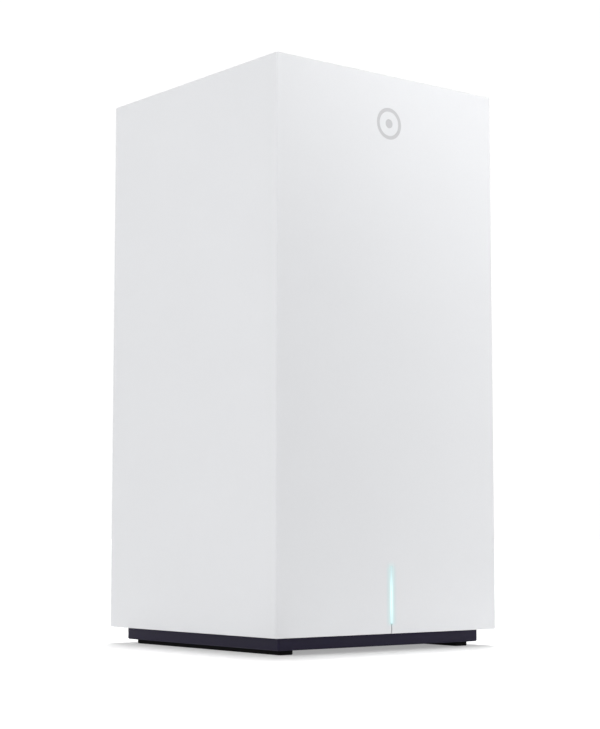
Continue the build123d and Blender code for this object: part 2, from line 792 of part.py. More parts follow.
# Each lead starts flat along its antenna's inner face and ends square on its socket.
lead_lift = lead_diameter / 2 + 0.05
modem_coax_x = modem_face + coax_socket_height
wifi_coax_x = board_face + coax_socket_height
cellular_x = frame_outer - lead_lift
cellular_routes = [
    [
        (-cellular_x, -8, 160),
        (-cellular_x, -18, 160),
        (-36.6, -29.5, 162),
        (-33, -42, 165),
        (-15, -45, 171),
        (1, -41, 176),
        (9.5, -27, 181.5),
        (modem_coax_x + 8, modem_coax_y[0], modem_coax_z),
        (modem_coax_x, modem_coax_y[0], modem_coax_z),
    ],
    [
        (-cellular_x, -12, 44),
        (-cellular_x, -13, 54),
        (-37, -16, 64),
        (-36.6, -19, 98),
        (-37.2, -24, 130),
        (-36.4, -32, 148),
        (-31, -45, 160),
        (-13, -47.5, 168),
        (5, -44, 173),
        (15, -30, 178),
        (modem_coax_x + 11, modem_coax_y[1], modem_coax_z),
        (modem_coax_x, modem_coax_y[1], modem_coax_z),
    ],
    [
        (cellular_x, 12, 152),
        (cellular_x, 10, 160),
        (36.5, 7, 169),
        (24, 3, 178),
        (modem_coax_x + 10, modem_coax_y[2], modem_coax_z),
        (modem_coax_x, modem_coax_y[2], modem_coax_z),
    ],
    [
        (cellular_x, 12, 44),
        (cellular_x, 12.5, 54),
        (37, 14, 64),
        (36.6, 16, 98),
        (37, 14, 134),
        (27, 10, 163),
        (15, 7.5, 177.5),
        (modem_coax_x + 8, modem_coax_y[3], modem_coax_z),
        (modem_coax_x, modem_coax_y[3], modem_coax_z),
    ],
]
with BuildPart() as cellular_leads:
    for points in cellular_routes:
        add(lead(points, lead_diameter))
cellular_leads.part.label = "cellular_leads"
export_step(cellular_leads.part, "parts/cellular_leads.step")

lead_z = upper_deck_top + 3.5
side_aerial_x = aerial_x - aerial_thickness / 2 - lead_lift
end_aerial_y = aerial_y - aerial_thickness / 2 - lead_lift
wifi_routes = [
    [
        (-side_aerial_x, -6, lead_z),
        (-side_aerial_x, 4, lead_z),
        (-38, 13, lead_z - 0.4),
        (-14, 19.5, lead_z + 0.4),
        (-1, 21.5, lead_z),
        (5.5, 22.5, 196),
        (6, 21.5, 189),
        (3.5, wifi_coax_y[0], wifi_coax_z),
        (wifi_coax_x, wifi_coax_y[0], wifi_coax_z),
    ],
    [
        (-12, -end_aerial_y, lead_z),
        (-2, -end_aerial_y, lead_z),
        (6.5, -29, lead_z - 0.4),
        (9, -6, lead_z + 0.2),
        (8.6, 16, lead_z + 0.4),
        (9.4, 22.6, 195.6),
        (8.2, 22.2, 187.6),
        (3, wifi_coax_y[1], wifi_coax_z),
        (wifi_coax_x, wifi_coax_y[1], wifi_coax_z),
    ],
    [
        (side_aerial_x, -6, lead_z),
        (side_aerial_x, 4, lead_z),
        (38, 13, lead_z - 0.4),
        (22.5, 20, lead_z + 0.4),
        (15, 22.6, 196),
        (13, 23.6, 188.6),
        (4, wifi_coax_y[2], wifi_coax_z),
        (wifi_coax_x, wifi_coax_y[2], wifi_coax_z),
    ],
    [
        (-2, end_aerial_y, lead_z),
        (8, end_aerial_y, lead_z),
        (15, 34.2, lead_z - 0.6),
        (17.5, 31.6, 194.6),
        (14, 31.2, 187.4),
        (5, wifi_coax_y[3], wifi_coax_z),
        (wifi_coax_x, wifi_coax_y[3], wifi_coax_z),
    ],
]
with BuildPart() as wifi_leads:
    for points in wifi_routes:
        add(lead(points, lead_diameter))
wifi_leads.part.label = "wifi_leads"
export_step(wifi_leads.part, "parts/wifi_leads.step")

# ---------------------------------------------------------------------------
# Rear panel
# ---------------------------------------------------------------------------
power_cap = (9.0, 7.0)
wps_cap_radius = 3.2
pinhole_radius = 0.9
sim_head = (3.0, 12.0)
dc_opening = 4.4
jack_opening = (12.0, 14.6)
usb_opening = (6.8, 14.2)
flange_extra = 3.0

with BuildPart() as io_panel:
    # dish with a flange behind the sleeve wall
    with BuildSketch(Plane.XZ.offset(-panel_front)):
        with Locations((0, window_middle)):
            RectangleRounded(2 * dish_half, 2 * dish_tall, 1.8)
    extrude(amount=panel_front - dish_back)
    with BuildSketch(Plane.XZ.offset(-(inner_half - 0.1))):
        with Locations((0, window_middle)):
            RectangleRounded(window_width + 2 * flange_extra, window_height + 2 * flange_extra, 3)
    extrude(amount=1.6)
    # ears for the four screws
    with BuildSketch(Plane.XZ.offset(-dish_floor)):
        with Locations((0, window_middle)):
            RectangleRounded(2 * (boss_spread + 4), window_height + 2 * ear_reach, 2)
    extrude(amount=dish_floor - dish_back)
    for place_x, place_z in panel_screw_places:
        rod_y(place_x, place_z, panel_screw_radius + 0.1, (dish_back - 1, dish_floor + 1), Mode.SUBTRACT)
    # the recess
    with BuildSketch(Plane.XZ.offset(-half)):
        with Locations((0, window_middle)):
            RectangleRounded(2 * (dish_half - dish_wall), 2 * (dish_tall - dish_wall), 1.2)
    extrude(amount=recess_depth, mode=Mode.SUBTRACT)
    # openings in its floor
    with BuildSketch(Plane.XZ.offset(-dish_floor)):
        with Locations((0, dc_z)):
            Circle(dc_opening)
        with Locations((0, power_z)):
            RectangleRounded(power_cap[0] + 2 * button_gap, power_cap[1] + 2 * button_gap, 1.2)
        with Locations((switch_x, reset_z)):
            Circle(pinhole_radius)
        with Locations((0, wan_z), (0, lan_z)):
            Rectangle(*jack_opening)
        with Locations((usb_x, usb_z)):
            Rectangle(*usb_opening)
        with Locations((sim_x, sim_z)):
            RectangleRounded(sim_head[0] + 2 * button_gap, sim_head[1] + 2 * button_gap, 1)
        with Locations((0, wps_z)):
            Circle(wps_cap_radius + button_gap)
    extrude(amount=dish_floor - dish_back, mode=Mode.SUBTRACT)
io_panel.part.label = "io_panel"
export_step(io_panel.part, "parts/io_panel.step")

with BuildPart() as io_panel_screws:
    for place_x, place_z in panel_screw_places:
        rod_y(place_x, place_z, panel_screw_radius, (dish_back, dish_floor + 4.4))
        rod_y(place_x, place_z, 1.9, (dish_back - 1.4, dish_back))
        cross_recess((place_x, dish_back - 1.1, place_z), 2.4, 0.5, 0.7, "Y")
io_panel_screws.part.label = "io_panel_screws"
export_step(io_panel_screws.part, "parts/io_panel_screws.step")

# ---------------------------------------------------------------------------
# Ports
# ---------------------------------------------------------------------------
jack_wide = 16.0
jack_deep = 18.0
jack_back = port_face - jack_deep
sheet = 0.3
cavity_half = 5.95
cavity_near = -2.6  # board side of the plug cavity
cavity_far = 4.4
latch_depth = 2.4
latch_half = 3.1
cavity_deep = 13.0
contact_pitch = 1.02
contact_half = 0.17

for port_name, port_z in (("wan", wan_z), ("lan", lan_z)):
    with BuildPart() as jack_shield:
        jack_z = (port_z - jack_wide / 2, port_z + jack_wide / 2)
        block((board_face, -board_face), (jack_back, port_face), jack_z)
        block(
            (board_face + sheet, -board_face - sheet),
            (jack_back + sheet, port_face + 1),
            (port_z - jack_wide / 2 + sheet, port_z + jack_wide / 2 - sheet),
            Mode.SUBTRACT,
        )
    jack_shield.part.label = f"{port_name}_jack_shield"
    export_step(jack_shield.part, f"parts/{port_name}_jack_shield.step")

    with BuildPart() as jack_insert:
        block(
            (board_face + sheet, -board_face - sheet),
            (jack_back + sheet, port_face - 0.2),
            (port_z - jack_wide / 2 + sheet, port_z + jack_wide / 2 - sheet),
        )
        cavity_y = (port_face - cavity_deep, port_face + 1)
        cavity_z = (port_z - cavity_half, port_z + cavity_half)
        block((cavity_near, cavity_far), cavity_y, cavity_z, Mode.SUBTRACT)
        block(
            (cavity_near - latch_depth, cavity_near),
            cavity_y,
            (port_z - latch_half, port_z + latch_half),
            Mode.SUBTRACT,
        )
    jack_insert.part.label = f"{port_name}_jack_insert"
    export_step(jack_insert.part, f"parts/{port_name}_jack_insert.step")

    with BuildPart() as jack_contacts:
        for contact in range(8):
            contact_z = port_z + (contact - 3.5) * contact_pitch
            with BuildSketch(Plane.XY.offset(contact_z - contact_half)):
                with BuildLine():
                    Polyline(
                        (cavity_far, port_face - 1.6),
                        (cavity_far - 0.3, port_face - 1.6),
                        (cavity_far - 2.2, port_face - 9.0),
                        (cavity_far - 2.2, port_face - 9.6),
                        (cavity_far - 1.9, port_face - 9.6),
                        (cavity_far - 1.9, port_face - 9.0),
                        (cavity_far, port_face - 2.0),
                        close=True,
                    )
                make_face()
            extrude(amount=2 * contact_half)
    jack_contacts.part.label = f"{port_name}_jack_contacts"
    export_step(jack_contacts.part, f"parts/{port_name}_jack_contacts.step")

usb_thick = 5.8
usb_wide = 13.2
usb_deep = 14.0
usb_sheet = 0.35
usb_x_span = (usb_x - usb_thick / 2, usb_x + usb_thick / 2)
usb_z_span = (usb_z - usb_wide / 2, usb_z + usb_wide / 2)
usb_y_span = (port_face - usb_deep, port_face)

with BuildPart() as usb_port_shield:
    block(usb_x_span, usb_y_span, usb_z_span)
    block(
        (usb_x_span[0] + usb_sheet, usb_x_span[1] - usb_sheet),
        (usb_y_span[0] + usb_sheet, port_face + 1),
        (usb_z_span[0] + usb_sheet, usb_z_span[1] - usb_sheet),
        Mode.SUBTRACT,
    )
usb_port_shield.part.label = "usb_port_shield"
export_step(usb_port_shield.part, "parts/usb_port_shield.step")

with BuildPart() as usb_port_tongue:
    block(
        (usb_x_span[0] + usb_sheet, usb_x_span[1] - usb_sheet),
        (usb_y_span[0] + usb_sheet, port_face - 9.2),
        (usb_z_span[0] + usb_sheet, usb_z_span[1] - usb_sheet),
    )
    block((usb_x - 1.9, usb_x - 0.1), (port_face - 9.3, port_face - 0.6), (usb_z - 5.5, usb_z + 5.5))
usb_port_tongue.part.label = "usb_port_tongue"
export_step(usb_port_tongue.part, "parts/usb_port_tongue.step")

dc_bore = 3.15
dc_bore_deep = 11.0
dc_pin_radius = 1.05
dc_pin_length = 9.5

with BuildPart() as dc_jack_body:
    block((board_face, 4.4), (port_face - 14, port_face), (dc_z - 4.5, dc_z + 4.5))
    rod_y(0, dc_z, dc_bore, (port_face - dc_bore_deep, port_face + 1), Mode.SUBTRACT)
dc_jack_body.part.label = "dc_jack_body"
export_step(dc_jack_body.part, "parts/dc_jack_body.step")

with BuildPart() as dc_jack_pin:
    rod_y(0, dc_z, dc_pin_radius, (port_face - dc_bore_deep, port_face - dc_bore_deep + dc_pin_length))
    fillet(dc_jack_pin.edges().group_by(Axis.Y)[-1], 0.45)
dc_jack_pin.part.label = "dc_jack_pin"
export_step(dc_jack_pin.part, "parts/dc_jack_pin.step")

sim_play = 0.15
tray_half_x = 0.55
tray_half_z = 5.2
tray_back = port_face - 16.3
tray_head_back = dish_back + 0.2

with BuildPart() as sim_socket:
    block((board_face, board_face + 3), (26, port_face - 0.2), (sim_z - 7, sim_z + 7))
    block(
        (sim_x - tray_half_x - sim_play, sim_x + tray_half_x + sim_play),
        (tray_back - 0.5, port_face + 1),
        (sim_z - tray_half_z - sim_play, sim_z + tray_half_z + sim_play),
        Mode.SUBTRACT,
    )
sim_socket.part.label = "sim_socket"
export_step(sim_socket.part, "parts/sim_socket.step")

card_long = 12.3
card_wide = 8.8
card_back = tray_back + 2.2

with BuildPart() as sim_tray:
    block(
        (sim_x - tray_half_x, sim_x + tray_half_x),
        (tray_back, tray_head_back),
        (sim_z - tray_half_z, sim_z + tray_half_z),
    )
    with BuildSketch(Plane.XZ.offset(-dish_floor)):
        with Locations((sim_x, sim_z)):
            RectangleRounded(*sim_head, 0.8)
    extrude(amount=dish_floor - tray_head_back)
    block(
        (sim_x - 0.2, sim_x + 1),
        (card_back - 0.05, card_back + card_long + 0.05),
        (sim_z - card_wide / 2 - 0.05, sim_z + card_wide / 2 + 0.05),
        Mode.SUBTRACT,
    )
sim_tray.part.label = "sim_tray"
export_step(sim_tray.part, "parts/sim_tray.step")

with BuildPart() as sim_card:
    block(
        (sim_x - 0.2, sim_x + 0.45),
        (card_back, card_back + card_long),
        (sim_z - card_wide / 2, sim_z + card_wide / 2),
    )
    chamfer(sim_card.edges().filter_by(Axis.X).group_by(Axis.Y)[-1].sort_by(Axis.Z)[-1], 1.6)
sim_card.part.label = "sim_card"
export_step(sim_card.part, "parts/sim_card.step")

# ---------------------------------------------------------------------------
# Buttons and switches
# ---------------------------------------------------------------------------
stop_front = port_face  # front of the collars, just behind the dish floor
stop_back = port_face - 1.2
power_stem_back = port_face - 8.9

with BuildPart() as power_button:
    with BuildSketch(Plane.XZ.offset(-(dish_floor + 2.0))):
        with Locations((0, power_z)):
            RectangleRounded(*power_cap, 1)
    extrude(amount=dish_floor + 2.0 - stop_front)
    fillet(power_button.edges().group_by(Axis.Y)[-1], 0.5)
    block(
        (-power_cap[0] / 2 - 0.8, power_cap[0] / 2 + 0.8),
        (stop_back, stop_front),
        (power_z - power_cap[1] / 2 - 0.8, power_z + power_cap[1] / 2 + 0.8),
    )
    block((switch_x - 1.4, switch_x + 1.4), (power_stem_back, stop_back), (power_z - 1.4, power_z + 1.4))
power_button.part.label = "power_button"
export_step(power_button.part, "parts/power_button.step")

with BuildPart() as power_switch_body:
    block((board_face, board_face + 8.5), (port_face - 13.9, port_face - 3.7), (power_z - 4, power_z + 4))
    block(
        (switch_x - 1.6, switch_x + 1.6),
        (power_stem_back - 2.5, port_face),
        (power_z - 1.6, power_z + 1.6),
        Mode.SUBTRACT,
    )
power_switch_body.part.label = "power_switch_body"
export_step(power_switch_body.part, "parts/power_switch_body.step")

with BuildPart() as wps_button:
    rod_y(0, wps_z, wps_cap_radius, (stop_front - 0.1, dish_floor + 1.6))
    fillet(wps_button.edges().group_by(Axis.Y)[-1], 0.5)
    rod_y(0, wps_z, wps_cap_radius + 0.8, (stop_back, stop_front))
    rod_y(switch_x, wps_z, 1.2, (port_face - 5, stop_back + 0.1))
wps_button.part.label = "wps_button"
export_step(wps_button.part, "parts/wps_button.step")

with BuildPart() as wps_switch_body:
    block((board_face, board_face + 7), (port_face - 8.9, port_face - 2.9), (wps_z - 3, wps_z + 3))
    rod_y(switch_x, wps_z, 1.4, (port_face - 6.3, port_face), Mode.SUBTRACT)
wps_switch_body.part.label = "wps_switch_body"
export_step(wps_switch_body.part, "parts/wps_switch_body.step")

with BuildPart() as reset_plunger:
    rod_y(switch_x, reset_z, 0.8, (port_face - 5.4, port_face - 0.5))
reset_plunger.part.label = "reset_plunger"
export_step(reset_plunger.part, "parts/reset_plunger.step")

with BuildPart() as reset_switch_body:
    block((board_face, board_face + 6.4), (port_face - 7.9, port_face - 1.9), (reset_z - 1.9, reset_z + 1.9))
    rod_y(switch_x, reset_z, 0.95, (port_face - 6.3, port_face), Mode.SUBTRACT)
reset_switch_body.part.label = "reset_switch_body"
export_step(reset_switch_body.part, "parts/reset_switch_body.step")
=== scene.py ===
import json
import math

import bmesh
import bpy
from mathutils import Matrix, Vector


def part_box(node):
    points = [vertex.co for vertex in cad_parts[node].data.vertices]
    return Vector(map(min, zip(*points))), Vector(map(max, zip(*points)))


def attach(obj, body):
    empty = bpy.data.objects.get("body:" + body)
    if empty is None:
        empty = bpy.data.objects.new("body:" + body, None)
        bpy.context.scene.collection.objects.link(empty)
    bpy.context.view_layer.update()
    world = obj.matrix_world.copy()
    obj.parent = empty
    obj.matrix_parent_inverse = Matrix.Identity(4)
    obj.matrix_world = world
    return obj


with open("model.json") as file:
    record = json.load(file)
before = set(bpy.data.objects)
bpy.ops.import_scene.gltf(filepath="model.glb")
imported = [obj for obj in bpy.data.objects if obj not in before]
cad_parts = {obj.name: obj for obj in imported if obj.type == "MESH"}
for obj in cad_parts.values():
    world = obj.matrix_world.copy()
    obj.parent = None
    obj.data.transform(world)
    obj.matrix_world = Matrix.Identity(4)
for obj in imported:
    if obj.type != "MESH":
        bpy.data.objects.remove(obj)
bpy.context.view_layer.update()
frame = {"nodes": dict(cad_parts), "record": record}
nodes = frame["nodes"]
MM = 0.001
ROUTER = "router_body"

# ---------------------------------------------------------------------------
# Places read from the frame
# ---------------------------------------------------------------------------
sleeve_low, sleeve_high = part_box("outer_sleeve")
sleeve_height = sleeve_high.z - sleeve_low.z
guide_low, guide_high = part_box("light_guide")
front_y = sleeve_low.y

# ---------------------------------------------------------------------------
# Camera
# ---------------------------------------------------------------------------
# Where the camera stands, in sleeve heights from the middle of the sleeve's lower edge.
CAMERA_PLACE = Vector((-2.0503, -2.5718, 0.1686))
CAMERA_YAW = math.radians(38.546)  # from +Y towards +X
CAMERA_PITCH = math.radians(5.652)
CAMERA_LENS = 86.1  # millimetres, on a sensor SENSOR_WIDTH wide
SENSOR_WIDTH = 36
CLIP_NEAR, CLIP_FAR = 0.01, 40

camera_data = bpy.data.cameras.new("camera")
camera = bpy.data.objects.new("camera", camera_data)
bpy.context.scene.collection.objects.link(camera)
camera_data.lens = CAMERA_LENS
camera_data.sensor_width = SENSOR_WIDTH
camera_data.clip_start = CLIP_NEAR
camera_data.clip_end = CLIP_FAR
camera.location = CAMERA_PLACE * sleeve_height + Vector((0, 0, sleeve_low.z))
look = Vector(
    (
        math.sin(CAMERA_YAW) * math.cos(CAMERA_PITCH),
        math.cos(CAMERA_YAW) * math.cos(CAMERA_PITCH),
        math.sin(CAMERA_PITCH),
    )
)
camera.rotation_euler = look.to_track_quat("-Z", "Y").to_euler()
bpy.context.scene.camera = camera


# ---------------------------------------------------------------------------
# Node helpers
# ---------------------------------------------------------------------------
BEVEL_SAMPLES = 4


class Shader:
    """A material with short names for adding nodes to it."""

    def __init__(self, name):
        self.material = bpy.data.materials.new(name)
        self.material.use_nodes = True
        self.tree = self.material.node_tree
        self.principled = self.tree.nodes["Principled BSDF"]
        self.place = self.tree.nodes.new("ShaderNodeTexCoord").outputs["Object"]

    def set(self, **values):
        """Sets the principled shader's own sockets. An underscore stands for a space."""
        for name, value in values.items():
            self.principled.inputs[name.replace("_", " ")].default_value = value

    def join(self, source, target):
        """Links an output to an input, or to one of the principled shader's sockets by name."""
        if isinstance(target, str):
            target = self.principled.inputs[target]
        self.tree.links.new(source, target)

    def math(self, operation, first, second=0.0):
        """A math node on sockets or numbers."""
        node = self.tree.nodes.new("ShaderNodeMath")
        node.operation = operation
        for socket, value in zip(node.inputs, (first, second)):
            if isinstance(value, (int, float)):
                socket.default_value = value
            else:
                self.join(value, socket)
        return node.outputs[0]

    def split(self):
        """The X, Y and Z of the place in the object."""
        node = self.tree.nodes.new("ShaderNodeSeparateXYZ")
        self.join(self.place, node.inputs[0])
        return node.outputs

    def span(self, source, low, high, to_low=0.0, to_high=1.0, smooth=False):
        """Maps a number from one range to another, held at its ends."""
        node = self.tree.nodes.new("ShaderNodeMapRange")
        node.interpolation_type = "SMOOTHSTEP" if smooth else "LINEAR"
        self.join(source, node.inputs["Value"])
        for name, value in (
            ("From Min", low),
            ("From Max", high),
            ("To Min", to_low),
            ("To Max", to_high),
        ):
            node.inputs[name].default_value = value
        return node.outputs["Result"]

    def stretch(self, scale):
        """The place in the object, scaled along each axis."""
        node = self.tree.nodes.new("ShaderNodeMapping")
        node.inputs["Scale"].default_value = scale
        self.join(self.place, node.inputs["Vector"])
        return node.outputs[0]

    def noise(self, scale, detail=2.0, roughness=0.5, vector=None):
        """Noise whose cells are about 1 / scale metres wide."""
        node = self.tree.nodes.new("ShaderNodeTexNoise")
        node.inputs["Scale"].default_value = scale
        node.inputs["Detail"].default_value = detail
        node.inputs["Roughness"].default_value = roughness
        self.join(vector or self.place, node.inputs["Vector"])
        return node.outputs["Fac"]

    def cells(self, scale):
        """Voronoi distance with cells about 1 / scale metres wide."""
        node = self.tree.nodes.new("ShaderNodeTexVoronoi")
        node.inputs["Scale"].default_value = scale
        self.join(self.place, node.inputs["Vector"])
        return node.outputs["Distance"]

    def ramp(self, source, stops):
        """A colour ramp with (position, colour) stops."""
        node = self.tree.nodes.new("ShaderNodeValToRGB")
        ramp = node.color_ramp
        while len(ramp.elements) < len(stops):
            ramp.elements.new(0.5)
        for element, (position, colour) in zip(ramp.elements, stops):
            element.position = position
            element.color = (*colour, 1)
        self.join(source, node.inputs["Fac"])
        return node.outputs["Color"]

    def mix(self, factor, first, second):
        """A colour mix of sockets or colours."""
        node = self.tree.nodes.new("ShaderNodeMix")
        node.data_type = "RGBA"
        sockets = (node.inputs[0], node.inputs[6], node.inputs[7])  # factor, A and B of a colour mix
        for socket, value in zip(sockets, (factor, first, second)):
            if isinstance(value, (int, float)):
                socket.default_value = value
            elif isinstance(value, tuple):
                socket.default_value = (*value, 1)
            else:
                self.join(value, socket)
        return node.outputs[2]  # the colour result

    def bump(self, height, strength, depth, edge=0.0):
        """Bump of a height socket, depth in metres. edge rounds sharp edges by that radius."""
        node = self.tree.nodes.new("ShaderNodeBump")
        node.inputs["Strength"].default_value = strength
        node.inputs["Distance"].default_value = depth
        self.join(height, node.inputs["Height"])
        if edge:
            bevel = self.tree.nodes.new("ShaderNodeBevel")
            bevel.samples = BEVEL_SAMPLES
            bevel.inputs["Radius"].default_value = edge
            self.join(bevel.outputs[0], node.inputs["Normal"])
        self.join(node.outputs[0], "Normal")


def shade(colour, factor):
    """A colour made darker or lighter."""
    return tuple(channel * factor for channel in colour)


def moulded(name, colour, rough, grain=2200, depth=0.03 * MM, mottle=0.03, spread=0.06, edge=0.0):
    """Moulded plastic or rubber: spark-eroded grain, faint mottling and uneven gloss."""
    shader = Shader(name)
    cloud = shader.noise(22, 3.0, 0.55)
    speck = shader.noise(grain * 0.45, 2.0, 0.6)
    drift = shader.math("ADD", shader.math("MULTIPLY", cloud, 0.6), shader.math("MULTIPLY", speck, 0.4))
    tone = shader.ramp(drift, [(0.32, shade(colour, 1 - mottle)), (0.68, shade(colour, 1 + mottle))])
    shader.join(tone, "Base Color")
    shader.join(shader.span(drift, 0.3, 0.7, rough - spread, rough + spread), "Roughness")
    fine = shader.noise(grain, 2.0, 0.65)
    shader.bump(fine, 0.35, depth, edge)
    return shader


def metal(name, colour, rough, along=(1, 1, 1), depth=0.01 * MM, tarnish=0.06, edge=0.0):
    """Bare or plated metal with fine drawn or rolled lines along an axis."""
    shader = Shader(name)
    lines = shader.noise(900, 3.0, 0.6, shader.stretch(along))
    cloud = shader.noise(60, 3.0, 0.5)
    drift = shader.math("ADD", shader.math("MULTIPLY", lines, 0.5), shader.math("MULTIPLY", cloud, 0.5))
    tone = shader.ramp(drift, [(0.3, shade(colour, 1 - tarnish)), (0.7, shade(colour, 1 + tarnish))])
    shader.join(tone, "Base Color")
    shader.join(shader.span(drift, 0.3, 0.7, rough - 0.07, rough + 0.07), "Roughness")
    shader.bump(lines, 0.25, depth, edge)
    shader.set(Metallic=1.0)
    return shader


# ---------------------------------------------------------------------------
# Housing
# ---------------------------------------------------------------------------
WHITE = (0.655, 0.662, 0.678)
PAINTED_HALO = (0.22, 1.0, 0.86)  # painted glow colour of the light bar on the wall beside it
PAINTED_GLOW_TINT = (0.592, 0.662, 0.676)  # painted cyan tint of the light bar's glow in the white plastic beside the slit
SLIT_HALF = 0.75 * MM  # half the width of the slit that the light bar shines through
PAINTED_WALL_GLOW = 0.11  # strength of the painted glow in the wall beside the slit
GUIDE_GLOW = 0.52  # strength of the glow in the light bar itself


def housing(name):
    """White satin housing plastic."""
    return moulded(name, WHITE, 0.47, grain=2600, depth=0.02 * MM, mottle=0.012, spread=0.05, edge=0.15 * MM)


def sleeve_finish():
    """The housing plastic with the light bar's glow painted into the front wall beside it, as a cyan tint
    and a faint emission.
    """
    shader = housing("white_housing_sleeve")
    x, y, z = shader.split()
    away = shader.math("ABSOLUTE", x)
    near = shader.span(away, SLIT_HALF, SLIT_HALF + 0.9 * MM, 1.0, 0.0, smooth=True)
    wide = shader.span(away, SLIT_HALF + 0.7 * MM, SLIT_HALF + 2.3 * MM, 1.0, 0.0, smooth=True)
    fade_in = shader.span(z, guide_low.z - 1.5 * MM, guide_low.z + 1.0 * MM, 0.0, 1.0, smooth=True)
    fade_out = shader.span(z, guide_high.z - 2.0 * MM, guide_high.z + 2.4 * MM, 1.0, 0.0, smooth=True)
    front = shader.math("LESS_THAN", y, front_y + 2 * MM)
    tall = shader.math("MULTIPLY", shader.math("MULTIPLY", fade_in, fade_out), front)
    plain = shader.principled.inputs["Base Color"].links[0].from_socket
    # A cyan tint of the light bar's glow is painted into the wall's colour beside the slit.
    shader.join(shader.mix(shader.math("MULTIPLY", wide, tall), plain, PAINTED_GLOW_TINT), "Base Color")
    # The wall beside the slit glows with painted light, though it is no lamp.
    shader.set(Emission_Color=(*PAINTED_HALO, 1))
    glow = shader.math("MULTIPLY", near, tall)
    shader.join(shader.math("MULTIPLY", glow, PAINTED_WALL_GLOW), "Emission Strength")
    return shader


def light_guide_finish():
    """Milky light pipe: brightest a little below half its height, cyan and dimmer towards the ends."""
    shader = Shader("lit_guide")
    x, _, z = shader.split()
    away = shader.math("ABSOLUTE", x)
    across = shader.span(away, 0.12 * MM, 0.62 * MM, 1.0, 0.5, smooth=True)
    along = shader.span(z, guide_low.z, guide_high.z)
    rise = shader.span(along, 0.0, 0.35, 0.5, 1.0, smooth=True)
    fall = shader.span(along, 0.45, 1.0, 1.0, 0.15, smooth=True)
    body = shader.math("MULTIPLY", rise, fall)
    haze = shader.noise(700, 2.0, 0.5)
    clear = shader.ramp(haze, [(0.3, (0.65, 0.69, 0.705)), (0.7, (0.69, 0.725, 0.74))])
    # The milky colour is painted cyan where the glow dims towards the ends: a painted tint of the pipe's own
    # light.
    shader.join(shader.mix(body, (0.56, 0.69, 0.705), clear), "Base Color")
    shader.set(Emission_Color=(0.30, 0.88, 0.95, 1), Roughness=0.3)
    glow = shader.math("MULTIPLY", body, across)
    shader.join(shader.math("MULTIPLY", glow, GUIDE_GLOW), "Emission Strength")
    shader.bump(haze, 0.2, 0.01 * MM)
    return shader


# ---------------------------------------------------------------------------
# Electronics
# ---------------------------------------------------------------------------
def circuit_board():
    """Green solder mask over copper tracks, with plated through holes whose middles are painted near-black
    as shade.
    """
    shader = Shader("circuit_board")
    _, y, z = shader.split()
    drift = shader.noise(90, 2.0, 0.5)
    wander = shader.math("MULTIPLY", shader.math("SUBTRACT", drift, 0.5), 2.4 * MM)

    def tracks(across, pitch, patches):
        moved = shader.math("ADD", across, wander)
        phase = shader.math("PINGPONG", moved, pitch / 2)
        line = shader.math("LESS_THAN", phase, pitch * 0.17)
        patch = shader.math("GREATER_THAN", shader.noise(patches, 1.0, 0.4), 0.5)
        return shader.math("MULTIPLY", line, patch)

    upright = tracks(y, 0.9 * MM, 75)
    level = tracks(z, 1.1 * MM, 95)
    copper = shader.math("MAXIMUM", upright, level)
    spots = shader.cells(260)
    ring = shader.math("LESS_THAN", spots, 0.14)
    hole = shader.math("LESS_THAN", spots, 0.06)
    mask = shader.mix(copper, (0.010, 0.095, 0.045), (0.022, 0.17, 0.075))
    plated = shader.mix(ring, mask, (0.62, 0.46, 0.2))
    # The middles of the holes are painted near-black: painted shade inside the holes.
    shader.join(shader.mix(hole, plated, (0.01, 0.012, 0.01)), "Base Color")
    shader.join(shader.span(ring, 0, 1, 0.32, 0.42), "Roughness")
    shader.join(shader.math("MULTIPLY", ring, 0.9), "Metallic")
    relief = shader.math("SUBTRACT", shader.math("MAXIMUM", copper, ring), hole)
    shader.bump(relief, 0.5, 0.04 * MM)
    shader.set(Coat_Weight=0.35, Coat_Roughness=0.2)
    return shader


def antenna_film():
    """Amber flexible film with folded copper elements under it."""
    shader = Shader("antenna_film")
    _, _, z = shader.split()
    rows = shader.math("LESS_THAN", shader.math("PINGPONG", z, 3.1 * MM), 1.35 * MM)
    patch = shader.math("GREATER_THAN", shader.noise(38, 1.0, 0.3), 0.44)
    copper = shader.math("MULTIPLY", rows, patch)
    cloud = shader.noise(140, 2.0, 0.5)
    film = shader.ramp(cloud, [(0.3, (0.34, 0.125, 0.02)), (0.7, (0.43, 0.17, 0.03))])
    shader.join(shader.mix(copper, film, (0.56, 0.27, 0.10)), "Base Color")
    shader.join(shader.span(copper, 0, 1, 0.0, 0.55), "Metallic")
    shader.join(shader.span(cloud, 0.3, 0.7, 0.28, 0.4), "Roughness")
    shader.bump(copper, 0.4, 0.05 * MM)
    shader.set(Coat_Weight=0.3, Coat_Roughness=0.25)
    return shader


BORDER_GAP = 1.4 * MM  # from the label's edge to its border line
BORDER_LINE = 0.4 * MM


